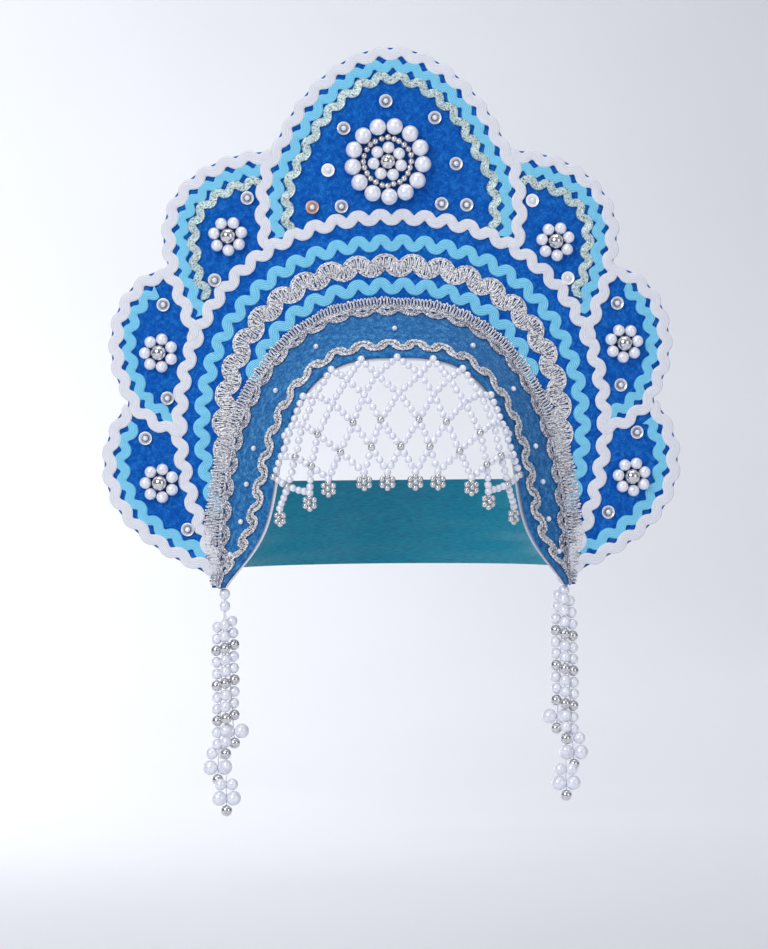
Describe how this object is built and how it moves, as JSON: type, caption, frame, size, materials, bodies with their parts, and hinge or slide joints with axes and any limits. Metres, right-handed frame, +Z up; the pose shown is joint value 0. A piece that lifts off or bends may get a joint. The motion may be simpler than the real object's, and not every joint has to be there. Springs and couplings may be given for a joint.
{
  "type": "kokoshnik headdress",
  "caption": "Tall scalloped felt headdress with rows of ric-rac and silver braid, pearl flowers, a beaded brow net, hanging bead strands and a satin strap behind.",
  "frame": {"origin": "highest point of the lining's inner face in the middle of the seam, where the headband rests on the head", "axes": "+Z up along the crest, -Y the way the wearer looks, +X to the right in the front view"},
  "size_m": [0.321, 0.1867, 0.4233],
  "materials": {
    "crest_felt": "thick matt wool felt, bright royal blue, mottled with darker and lighter fibres",
    "band_felt": "matt wool felt, a lighter and greyer blue",
    "lining": "matt white cloth, folded over at the edge",
    "satin": "smooth teal blue satin with soft sheen",
    "white_rickrack": "matt white woven ric-rac braid with a faint lilac cast",
    "blue_rickrack": "matt light blue woven ric-rac braid",
    "silver_rickrack": "pale silver lurex ric-rac braid with a glitter that turns green and pink",
    "silver_gimp": "silver metallic gimp and cord braid, satin metal threads",
    "pearl": "glossy imitation pearl, white with a lilac lustre; the silver beads beside the pearls are mirror bright",
    "sequin": "bright silver cup sequins, a few with copper and dark mirror reflections"
  },
  "bodies": {
    "root": {"back_strap": "satin", "band_lining": "lining", "bead_net": "pearl", "blue_centre_lobe_braid": "blue_rickrack", "blue_inner_arch_braid": "blue_rickrack", "blue_lower_lobe_braid_left": "blue_rickrack", "blue_lower_lobe_braid_right": "blue_rickrack", "blue_middle_lobe_braid_left": "blue_rickrack", "blue_middle_lobe_braid_right": "blue_rickrack", "blue_outer_arch_braid": "blue_rickrack", "blue_upper_lobe_braid_left": "blue_rickrack", "blue_upper_lobe_braid_right": "blue_rickrack", "brow_braid": "silver_gimp", "crest_panel": "crest_felt", "headband": "band_felt", "pearl_flower_lower_left": "pearl", "pearl_flower_lower_right": "pearl", "pearl_flower_middle_left": "pearl", "pearl_flower_middle_right": "pearl", "pearl_flower_upper_left": "pearl", "pearl_flower_upper_right": "pearl", "pearl_rosette": "pearl", "pendant_left": "pearl", "pendant_right": "pearl", "seam_cord_braid": "silver_gimp", "seam_loop_braid": "silver_gimp", "sequin_centre_base_left": "sequin", "sequin_centre_base_right": "sequin", "sequin_centre_corner_left": "sequin", "sequin_centre_corner_right": "sequin", "sequin_centre_side_left": "sequin", "sequin_centre_side_right": "sequin", "sequin_centre_top": "sequin", "sequin_centre_upper_left": "sequin", "sequin_centre_upper_right": "sequin", "sequin_lower_left_base": "sequin", "sequin_lower_left_top": "sequin", "sequin_lower_right_base": "sequin", "sequin_lower_right_top": "sequin", "sequin_middle_left_base": "sequin", "sequin_middle_left_top": "sequin", "sequin_middle_right_base": "sequin", "sequin_middle_right_top": "sequin", "sequin_upper_left_side": "sequin", "sequin_upper_left_top": "sequin", "sequin_upper_right_side": "sequin", "sequin_upper_right_top": "sequin", "silver_centre_lobe_braid": "silver_rickrack", "silver_gimp_arch": "silver_gimp", "silver_upper_lobe_braid_left": "silver_rickrack", "silver_upper_lobe_braid_right": "silver_rickrack", "white_arch_braid": "white_rickrack", "white_centre_lobe_braid": "white_rickrack", "white_lower_lobe_braid_left": "white_rickrack", "white_lower_lobe_braid_right": "white_rickrack", "white_middle_lobe_braid_left": "white_rickrack", "white_middle_lobe_braid_right": "white_rickrack", "white_upper_lobe_braid_left": "white_rickrack", "white_upper_lobe_braid_right": "white_rickrack"}
  },
  "joints": []
}
